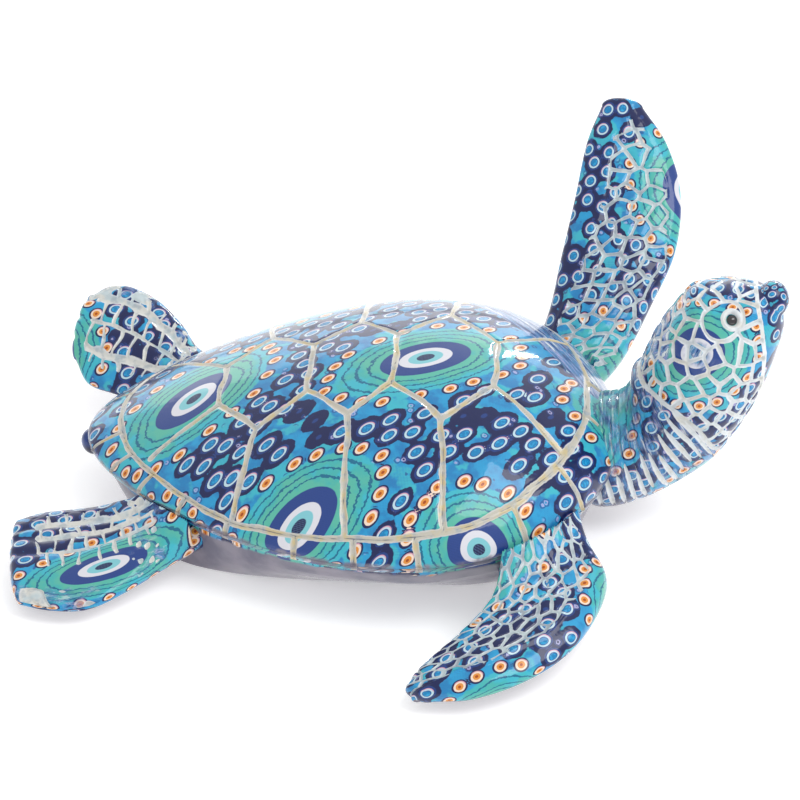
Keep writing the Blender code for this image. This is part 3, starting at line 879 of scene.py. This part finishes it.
class Sketch:
    """Adds nodes to a material, so that a formula reads as one."""

    def __init__(self, name):
        self.material = bpy.data.materials.new(name)
        self.material.use_nodes = True
        self.tree = self.material.node_tree
        self.shader = self.tree.nodes["Principled BSDF"]

    def feed(self, socket, value):
        if isinstance(value, bpy.types.NodeSocket):
            self.tree.links.new(value, socket)
        else:
            socket.default_value = value

    def add(self, kind, inputs, **settings):
        """The outputs of a new node, given its settings and what goes into its inputs."""
        node = self.tree.nodes.new(kind)
        for name, setting in settings.items():
            setattr(node, name, setting)
        for name, value in inputs.items():
            self.feed(node.inputs[name], value)
        return node.outputs

    def surface(self, inputs):
        """The material, once its shader has these inputs."""
        for name, value in inputs.items():
            self.feed(self.shader.inputs[name], value)
        return self.material

    def math(self, operation, *values):
        return self.add("ShaderNodeMath", dict(enumerate(values)), operation=operation)[0]

    def times(self, first, second):
        return self.math("MULTIPLY", first, second)

    def step(self, value, low, high):
        """0 below low and 1 above high, or the other way round when low is the larger."""
        inputs = {"Value": value, "From Min": low, "From Max": high}
        return self.add("ShaderNodeMapRange", inputs, interpolation_type="SMOOTHSTEP")[0]

    def line(self, value, place, width):
        """1 where a value is at a place, fading out to the line's edges."""
        gap = self.math("ABSOLUTE", self.math("SUBTRACT", value, place))
        return self.step(gap, width * 0.62, width * 0.38)

    def mix(self, share, first, second):
        return self.add("ShaderNodeMix", {0: share, 6: first, 7: second}, data_type="RGBA")[2]

    def ramp(self, value, stops, soft=0.006):
        """Flat bands of colour: each stop is where a band starts and its colour."""
        node = self.tree.nodes.new("ShaderNodeValToRGB")
        elements = node.color_ramp.elements
        elements[0].position, elements[0].color = stops[0]
        elements.remove(elements[1])
        for (_, before), (place, colour) in zip(stops[:-1], stops[1:]):
            elements.new(max(0.0, place - soft)).color = before
            elements.new(place + soft).color = colour
        self.feed(node.inputs[0], value)
        return node.outputs[0]

    def noise(self, scale, detail=2.0, vector=None):
        inputs = {"Scale": scale, "Detail": detail, "Vector": vector or self.place()}
        return self.add("ShaderNodeTexNoise", inputs)["Fac"]

    def patches(self, scale, detail, low, high):
        """1 in the patches where a noise is high, and 0 where it is low."""
        return self.step(self.noise(scale, detail), low, high)

    def shaken(self, value, amount, scale, detail=2.0):
        """A value with noise added, from minus to plus the amount."""
        shake = self.math("MULTIPLY_ADD", self.noise(scale, detail), 2 * amount, -amount)
        return self.math("ADD", value, shake)

    def place(self):
        return self.add("ShaderNodeTexCoord", {})["Object"]

    def layer(self, name):
        """A mesh layer's vector, its three values and its single value."""
        return self.add("ShaderNodeAttribute", {}, attribute_name=name)

    def parts(self, vector):
        return self.add("ShaderNodeSeparateXYZ", {0: vector})

    def reach(self, way, slack):
        """The distance from a motif's centre, exact near it and safe where two motifs' cells meet."""
        squares = self.math("ADD", self.times(way[0], way[0]), self.times(way[1], way[1]))
        return self.math("MAXIMUM", self.math("SQRT", squares), self.math("SUBTRACT", way[2], slack))

    def bump(self, height, strength, distance):
        return self.add("ShaderNodeBump", {"Strength": strength, "Distance": distance, "Height": height})[0]


# How bright the stage makes a white surface, and what the clear coat's haze adds to every colour.
STAGE_LIGHT = 1.13
COAT_HAZE = 0.02


def ink(red, green, blue):
    """The colour of a print that shows as these screen values under the stage's light."""
    linear = [max(0.002, (share - COAT_HAZE) / STAGE_LIGHT) for share in srgb(red, green, blue)[:3]]
    return (*linear, 1.0)


INK_NIGHT = ink(44, 40, 78)
INK_OUTLINE = ink(40, 48, 90)
INK_NAVY = ink(48, 72, 134)
INK_SCREEN = ink(60, 112, 176)
INK_ROYAL = ink(54, 78, 144)
INK_SKY = ink(54, 164, 216)
INK_DEEP_SKY = ink(50, 136, 194)
INK_BEAD = ink(38, 134, 190)
INK_TURQUOISE = ink(72, 188, 206)
INK_GREEN = ink(98, 190, 170)
INK_SEA = ink(78, 184, 182)
INK_TEAL_LINE = ink(38, 104, 142)
INK_PALE = ink(136, 206, 216)
INK_WHITE = ink(228, 228, 236)
INK_RING = ink(196, 224, 236)
INK_RUST = ink(176, 84, 30)
INK_ORANGE = ink(232, 152, 72)
INK_CREAM = ink(250, 226, 206)
INK_PINK = ink(228, 168, 190)
INK_LAVENDER = ink(176, 176, 222)
INK_STEEL = ink(96, 134, 176)
PAINT_BEIGE = ink(204, 200, 188)
PAINT_STRAW = ink(212, 196, 154)
PAINT_GREY = ink(166, 178, 188)
PAINT_PALE = ink(200, 214, 218)
PAINT_WHITE = ink(232, 238, 241)
PAINT_CREAM = ink(226, 226, 220)
GREY_MAUVE = ink(142, 136, 150)
GREY_DARK = ink(104, 102, 122)
# Painted shade: the thin dark line down the middle of a groove.
GROOVE_SHADE_INK = ink(98, 104, 122)
TAIL_NAVY = ink(34, 38, 66)
DOT_PITCH = 0.42  # along the screen's rows, which run at 45 degrees


def dots(sketch):
    """The printer's screen of dots, from 0 to 1."""
    place = sketch.parts(sketch.place())
    pace = FULL_TURN * 0.7071 / (DOT_PITCH * MM)
    first = sketch.math("SINE", sketch.times(sketch.math("ADD", place[0], place[1]), pace))
    second = sketch.math("SINE", sketch.times(sketch.math("SUBTRACT", place[0], place[1]), pace))
    return sketch.step(sketch.times(first, second), -0.2, 0.5)


def ground_colour(sketch, reach, kind):
    """Bright blue, with dark-edged navy blots that run together round the blue beads."""
    edge = sketch.shaken(sketch.layer("blot")["Fac"], 0.36, 750, 3.0)
    sky = sketch.mix(sketch.patches(260, 3.0, 0.42, 0.62), INK_SKY, INK_DEEP_SKY)
    sky = sketch.mix(sketch.patches(190, 3.0, 0.52, 0.6), sky, INK_TURQUOISE)
    patches = sketch.times(dots(sketch), sketch.patches(230, 2.0, 0.4, 0.7))
    sky = sketch.mix(sketch.times(patches, 0.6), sky, INK_SCREEN)
    screened = sketch.math("MULTIPLY_ADD", dots(sketch), 0.5, sketch.patches(200, 2.0, 0.35, 0.7))
    between = sketch.mix(screened, INK_NAVY, INK_SCREEN)
    uneven = sketch.shaken(reach, 0.16, 900)
    navy = sketch.mix(sketch.step(uneven, 1.75, 1.95), INK_NAVY, between)
    navy = sketch.mix(sketch.line(uneven, 1.78, 0.5), navy, INK_OUTLINE)
    blind = sketch.times(sketch.step(kind, 1.4, 1.6), sketch.step(uneven, 0.35, 0.55))
    blind = sketch.times(blind, sketch.step(uneven, 1.7, 1.5))
    navy = sketch.mix(blind, navy, INK_OUTLINE)
    colour = sketch.mix(sketch.step(edge, 0.06, -0.06), sky, navy)
    return sketch.mix(sketch.line(edge, -0.24, 0.55), colour, INK_OUTLINE)


def with_specks(sketch, colour):
    """Sparse tiny pale curls between the beads, with dark edges."""
    cells = sketch.add("ShaderNodeTexVoronoi", {"Scale": 330, "Vector": sketch.place()})
    gap = sketch.shaken(cells["Distance"], 0.09, 1700)
    sparse = sketch.patches(140, 1.0, 0.48, 0.54)
    dark = sketch.times(sketch.line(gap, 0.24, 0.09), sparse)
    pale = sketch.times(sketch.line(gap, 0.12, 0.09), sparse)
    colour = sketch.mix(sketch.times(dark, 0.7), colour, INK_ROYAL)
    return sketch.mix(sketch.times(pale, 0.85), colour, INK_LAVENDER)


def with_beads(sketch, colour, way, reach, kind):
    """Orange and blue beads with pale rings, fringed with pink where the inks don't quite meet."""
    lit = sketch.times(sketch.math("ADD", way[0], way[1]), 0.7)
    core = sketch.mix(sketch.patches(1500, 1.0, 0.5, 0.6), INK_BEAD, INK_SKY)
    orange = sketch.ramp(sketch.math("DIVIDE", sketch.shaken(reach, 0.07, 1500), 2.0), (
        (0.0, INK_RUST), (0.15, INK_ORANGE), (0.36, INK_CREAM), (0.56, INK_OUTLINE),
    ))
    blue = sketch.ramp(sketch.math("DIVIDE", sketch.shaken(reach, 0.05, 1500), 2.0), (
        (0.0, INK_BEAD), (0.4, INK_RING), (0.58, INK_OUTLINE),
    ))
    blue = sketch.mix(sketch.step(reach, 0.72, 0.62), blue, core)
    blue = sketch.mix(sketch.line(reach, 0.76, 0.12), blue, INK_ROYAL)
    bead = sketch.mix(sketch.step(kind, 0.3, 0.7), orange, blue)
    fringe = sketch.times(sketch.line(reach, 1.14, 0.2), sketch.step(lit, 0.3, 0.7))
    bead = sketch.mix(sketch.times(fringe, 0.8), bead, INK_PINK)
    rim = sketch.math("MULTIPLY_ADD", sketch.step(kind, 0.7, 0.3), 0.28, 1.2)
    inside = sketch.step(sketch.math("SUBTRACT", reach, rim), 0.08, -0.02)
    return sketch.mix(sketch.times(inside, sketch.step(kind, 1.6, 1.4)), colour, bead)


def teal_colour(sketch, reach):
    """The green and turquoise round an eye motif, with jagged dark contours."""
    tint = sketch.math("ADD", sketch.noise(200, 3.0), sketch.times(reach, 0.06))
    colour = sketch.mix(sketch.step(tint, 0.86, 1.06), INK_GREEN, INK_SEA)
    colour = sketch.mix(sketch.step(tint, 1.04, 1.16), colour, INK_TURQUOISE)
    wavy = sketch.shaken(sketch.shaken(reach, 0.75, 160), 0.38, 1400, 1.0)
    for place in TEAL_LINES:
        colour = sketch.mix(sketch.times(sketch.line(wavy, place, 0.34), 0.9), colour, INK_TEAL_LINE)
    return colour, wavy


def with_iris(sketch, colour, reach):
    """An eye motif's pupil and its pale, white and royal blue rings."""
    royal = sketch.mix(sketch.times(dots(sketch), 0.4), INK_ROYAL, INK_NAVY)
    pupil = sketch.mix(sketch.times(dots(sketch), 0.5), INK_NIGHT, INK_STEEL)
    smooth = sketch.shaken(reach, 0.06, 700)
    iris = sketch.ramp(sketch.math("DIVIDE", smooth, 8.0), (
        (0.0, INK_NIGHT), (PUPIL / 8, INK_PALE), (PALE_IRIS / 8, INK_WHITE), (WHITE_IRIS / 8, INK_ROYAL),
    ))
    iris = sketch.mix(sketch.step(smooth, PUPIL, PUPIL - 0.1), iris, pupil)
    iris = sketch.mix(sketch.step(smooth, WHITE_IRIS - 0.03, WHITE_IRIS + 0.07), iris, royal)
    return sketch.mix(sketch.step(smooth, ROYAL_IRIS + 0.07, ROYAL_IRIS - 0.07), colour, iris)


def film_colour(sketch):
    eye, bead = [sketch.parts(sketch.layer(name)["Vector"]) for name in ("eye_way", "bead_way")]
    kind = sketch.layer("bead_kind")["Fac"]
    eye_reach, bead_reach = sketch.reach(eye, 0.4), sketch.reach(bead, 0.25)
    ground = with_specks(sketch, ground_colour(sketch, bead_reach, kind))
    teal, wavy = teal_colour(sketch, eye_reach)
    colour = sketch.mix(sketch.step(wavy, TEAL_END + 0.2, TEAL_END - 0.2), ground, teal)
    colour = with_beads(sketch, colour, bead, bead_reach, kind)
    return with_iris(sketch, colour, eye_reach)


def with_smear(sketch, colour):
    """Where the film dragged: streaks of its inks along the flow."""
    streaks = sketch.noise(1.0, 3.0, sketch.layer("flow")["Vector"])
    tones = sketch.ramp(streaks, (
        (0.0, INK_NAVY), (0.43, INK_STEEL), (0.49, INK_DEEP_SKY), (0.53, INK_LAVENDER), (0.57, INK_STEEL),
        (0.62, PAINT_WHITE),
    ), 0.02)
    share = sketch.step(sketch.shaken(sketch.layer("smear")["Fac"], 0.35, 300, 3.0), 0.35, 0.65)
    return sketch.mix(share, colour, tones)


def with_paint(sketch, colour, pale, warm, shade_patches):
    """Pale paint left in the grooves, uneven in width and tone. Grey patches and, in places, a thin dark line
    down the middle are painted shade in the grooves, and a whiter line near the edges is a painted highlight
    on their lips.
    """
    ratio = sketch.layer("paint")["Fac"]
    edge = sketch.shaken(ratio, 0.3, 700, 3.0)
    tone = sketch.mix(sketch.patches(240, 3.0, 0.47, 0.62), pale, warm)
    # Grey patches, as strong as the last argument asks: painted shade in the grooves.
    tone = sketch.mix(sketch.times(sketch.patches(520, 3.0, 0.5, 0.68), shade_patches), tone, PAINT_GREY)
    # A whiter line near the paint's edges: a painted highlight on the grooves' lips.
    tone = sketch.mix(sketch.times(sketch.line(edge, 0.86, 0.3), 0.4), tone, INK_WHITE)
    # A thin dark line down the groove's middle, broken up by noise: painted shade in the groove's bottom.
    broken = sketch.step(sketch.math("ADD", sketch.noise(160, 2.0), sketch.layer("groove_shade")["Fac"]), 0.72, 0.8)
    groove_shade_line = sketch.times(sketch.step(sketch.shaken(ratio, 0.1, 900), 0.22, 0.08), broken)
    tone = sketch.mix(sketch.times(groove_shade_line, 0.75), tone, GROOVE_SHADE_INK)
    return sketch.mix(sketch.step(edge, 1.06, 0.9), colour, tone)


def with_underside(sketch, colour):
    """Grey-mauve paint, with smears of the film where the two meet."""
    share = sketch.step(sketch.shaken(sketch.layer("under")["Fac"], 0.6, 300, 4.0), 0.3, 0.7)
    grey = sketch.mix(sketch.patches(130, 5.0, 0.35, 0.7), GREY_MAUVE, GREY_DARK)
    return sketch.mix(share, colour, grey)


def lacquer(sketch, colour, roughness):
    """A glossy clear coat with the faint waviness of sprayed lacquer."""
    ripple = sketch.bump(sketch.noise(350, 2.0), 0.25, 0.0002)
    return sketch.surface({
        "Base Color": colour,
        "Roughness": sketch.math("MULTIPLY_ADD", sketch.noise(600, 3.0), 0.12, roughness - 0.06),
        "Specular IOR Level": 0.15,
        "Coat Weight": 1.0,
        "Coat Roughness": 0.07,
        "Coat IOR": 1.4,
        "Coat Normal": ripple,
        "Normal": ripple,
    })


def film_material(name, pale, warm, shade_patches):
    sketch = Sketch(name)
    colour = with_smear(sketch, film_colour(sketch))
    colour = with_paint(sketch, colour, pale, warm, shade_patches)
    return lacquer(sketch, with_underside(sketch, colour), 0.4)


def dark_lacquer():
    sketch = Sketch("tail_lacquer")
    tint = sketch.mix(sketch.patches(300, 3.0, 0.4, 0.7), TAIL_NAVY, INK_ROYAL)
    return lacquer(sketch, with_underside(sketch, tint), 0.35)


def bead_glass():
    sketch = Sketch("black_bead_glass")
    return sketch.surface({
        "Base Color": sketch.mix(sketch.noise(300, 2.0), srgb(6, 6, 10), srgb(26, 24, 34)),
        "Roughness": sketch.math("MULTIPLY_ADD", sketch.noise(500), 0.05, 0.02),
        "Coat Weight": 1.0,
        "Coat Roughness": 0.02,
    })


def drawn_wire():
    sketch = Sketch("drawn_steel_wire")
    grain = sketch.noise(900, 4.0)
    return sketch.surface({
        "Base Color": sketch.mix(grain, srgb(150, 152, 156), srgb(196, 198, 202)),
        "Roughness": sketch.math("MULTIPLY_ADD", grain, 0.3, 0.2),
        "Metallic": 1.0,
        "Normal": sketch.bump(grain, 0.3, 0.0001),
    })


def lit_table():
    """The floor is a lit table, as product photographs have."""
    sketch = Sketch("pale_floor")
    tone = sketch.mix(sketch.noise(30, 2.0), srgb(246, 246, 246), srgb(250, 250, 250))
    return sketch.surface({
        "Base Color": tone, "Roughness": 0.8, "Emission Color": tone, "Emission Strength": FLOOR_GLOW,
    })


# --- stage ---

AIM = (9.5, 5.2, 20.7)
CAMERA_DISTANCE = 640.0
CAMERA_AZIMUTH = 3.94
CAMERA_ELEVATION = 33.0
SKY_RADIANCE = 0.8
FLOOR_GLOW = 0.4
FLOOR_SIDE = 6000.0
FLOOR_DROP = 0.2  # so that the belly's flat rest doesn't lie in the floor's own plane
# A lamp: azimuth and elevation in degrees, distance, its two sizes in millimetres, turn and radiance.
LAMPS = {
    "key_softbox": (75, 56, 800, 460, 460, 0, 4.2),
    "rear_strip": (164.8, 22.6, 800, 215, 13, 52, 80),
    "backdrop": (185, 14, 1100, 1600, 420, 0, 1.2),
}


def from_angle(azimuth, elevation, distance):
    """A place that far from the aim, in metres. Azimuth 0 is in front of the turtle's right side."""
    azimuth, elevation = math.radians(azimuth), math.radians(elevation)
    way = (
        math.sin(azimuth) * math.cos(elevation),
        -math.cos(azimuth) * math.cos(elevation),
        math.sin(elevation),
    )
    return [MM * (middle + distance * share) for middle, share in zip(AIM, way)]


def aimed(item, place, turn=0.0):
    """Puts a camera or a lamp at a place, facing the aim, and turned about that line of sight."""
    item.location = place
    way = mathutils.Vector(AIM) * MM - item.location
    twist = mathutils.Matrix.Rotation(math.radians(turn), 3, "Z")
    item.rotation_euler = (way.to_track_quat("-Z", "Y").to_matrix() @ twist).to_euler()
    bpy.context.scene.collection.objects.link(item)
    return item


def add_lamp(name, azimuth, elevation, distance, width, height, turn, radiance):
    lamp = bpy.data.lights.new(name, "AREA")
    lamp.shape = "RECTANGLE"
    lamp.size, lamp.size_y = width * MM, height * MM
    lamp.energy = radiance * math.pi * lamp.size * lamp.size_y
    aimed(bpy.data.objects.new(name, lamp), from_angle(azimuth, elevation, distance), turn)


def add_camera():
    camera = bpy.data.cameras.new("camera")
    camera.lens = 135
    camera.sensor_width = 36
    camera.clip_start, camera.clip_end = 0.01, 20
    eye = from_angle(CAMERA_AZIMUTH, CAMERA_ELEVATION, CAMERA_DISTANCE)
    bpy.context.scene.camera = aimed(bpy.data.objects.new("camera", camera), eye)


def light_world():
    world = bpy.data.worlds.new("studio")
    world.use_nodes = True
    background = world.node_tree.nodes["Background"]
    background.inputs["Color"].default_value = (1.0, 1.0, 1.0, 1.0)
    background.inputs["Strength"].default_value = SKY_RADIANCE
    bpy.context.scene.world = world
    bpy.context.scene.view_settings.view_transform = "Standard"


def add_floor():
    half = FLOOR_SIDE / 2 * MM
    corners = [(half * x, half * y, 0) for x, y in ((-1, -1), (1, -1), (1, 1), (-1, 1))]
    mesh = bpy.data.meshes.new("floor")
    mesh.from_pydata(corners, [], [(0, 1, 2, 3)])
    mesh.materials.append(lit_table())
    floor = bpy.data.objects.new("floor", mesh)
    floor.location.z = -FLOOR_DROP * MM
    bpy.context.scene.collection.objects.link(floor)


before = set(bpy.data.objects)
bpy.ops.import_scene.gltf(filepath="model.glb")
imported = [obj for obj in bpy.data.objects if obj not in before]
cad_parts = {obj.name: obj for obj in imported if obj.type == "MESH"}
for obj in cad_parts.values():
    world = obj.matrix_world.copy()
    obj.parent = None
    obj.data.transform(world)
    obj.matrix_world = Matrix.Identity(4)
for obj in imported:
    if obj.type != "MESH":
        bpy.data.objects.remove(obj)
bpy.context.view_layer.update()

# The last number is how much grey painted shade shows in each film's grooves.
shell_film = film_material("shell_film", PAINT_BEIGE, PAINT_STRAW, 0.75)
net_film = film_material("net_film", PAINT_PALE, PAINT_GREY, 0.7)
head_film = film_material("head_film", PAINT_WHITE, PAINT_CREAM, 0.3)
cream_film = film_material("cream_film", PAINT_CREAM, PAINT_PALE, 0.6)

make_carapace(shell_film)
make_belly(shell_film)
make_front_flipper_right(net_film)
make_front_flipper_left(net_film)
for names, *shape in REAR_FLIPPERS:
    make_rear_flipper(cream_film, names, *shape)
make_tail(dark_lacquer())
make_head(head_film)

for node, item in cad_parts.items():
    if node.startswith("eye_"):
        item.data.materials[0] = bead_glass()
    elif "_pin" in node:
        item.data.materials[0] = drawn_wire()

add_camera()
for name, lamp in LAMPS.items():
    add_lamp(name, *lamp)
light_world()
add_floor()
